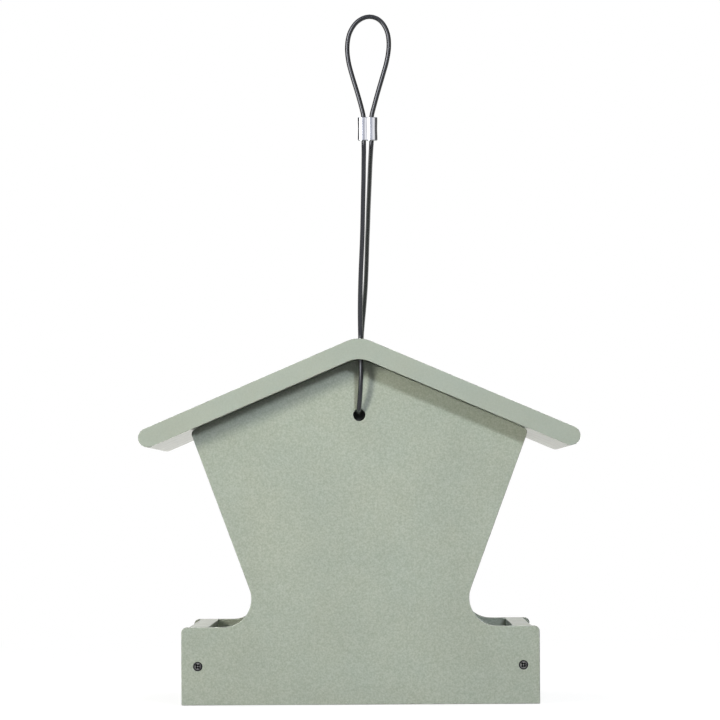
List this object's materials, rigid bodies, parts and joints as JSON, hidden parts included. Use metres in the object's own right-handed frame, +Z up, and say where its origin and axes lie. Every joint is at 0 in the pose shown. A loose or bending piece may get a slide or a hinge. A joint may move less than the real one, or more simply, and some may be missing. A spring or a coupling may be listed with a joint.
{
  "type": "hopper bird feeder",
  "caption": "Hanging gable-roofed hopper bird feeder in sage plastic board, with clear leaning windows, seed trays and a roof that slides up its cable.",
  "frame": {"origin": "under the middle of the feeder, on the plane that its panels and rails stand on", "axes": "+Z up, +Y along the ridge towards the rear end, +X across the gable; the front end of the picture faces -Y"},
  "size_m": [0.293, 0.3048, 0.4726],
  "materials": {
    "sage_board": "fine-textured recycled plastic board, sage green",
    "clear_window": "clear acrylic sheet",
    "coated_cable": "black vinyl coating over steel cable",
    "aluminium_sleeve": "bright crimped aluminium",
    "rubber_washer": "black rubber",
    "black_screw": "black coated steel"
  },
  "bodies": {
    "feeder": {"front_end_panel": "sage_board", "rear_end_panel": "sage_board", "left_tray_rail": "sage_board", "right_tray_rail": "sage_board", "tray_floor": "sage_board", "left_window": "clear_window", "right_window": "clear_window", "front_rail_screws": "black_screw", "rear_rail_screws": "black_screw", "front_cable_washer": "rubber_washer", "rear_cable_washer": "rubber_washer", "front_cable_stop": "aluminium_sleeve", "rear_cable_stop": "aluminium_sleeve", "front_cable_drop": "coated_cable", "rear_cable_drop": "coated_cable"},
    "roof": {"roof": "sage_board", "front_cable_strand": "coated_cable", "rear_cable_strand": "coated_cable"},
    "hanger": {"ferrule": "aluminium_sleeve", "cable_loop": "coated_cable"}
  },
  "joints": [
    {"name": "roof_lift", "type": "slide", "parent": "feeder", "child": "roof", "axis": [0, 0, 1], "range_m": [0, 0.055], "deforming": ["front_cable_drop", "rear_cable_drop"]},
    {"name": "hanger_drop", "type": "slide", "parent": "roof", "child": "hanger", "axis": [0, 0, -1], "range_m": [0, 0.0965], "deforming": ["front_cable_strand", "rear_cable_strand"]}
  ],
  "couplings": [
    {"joint": "hanger_drop", "follows": "roof_lift", "ratio": 1.75}
  ]
}
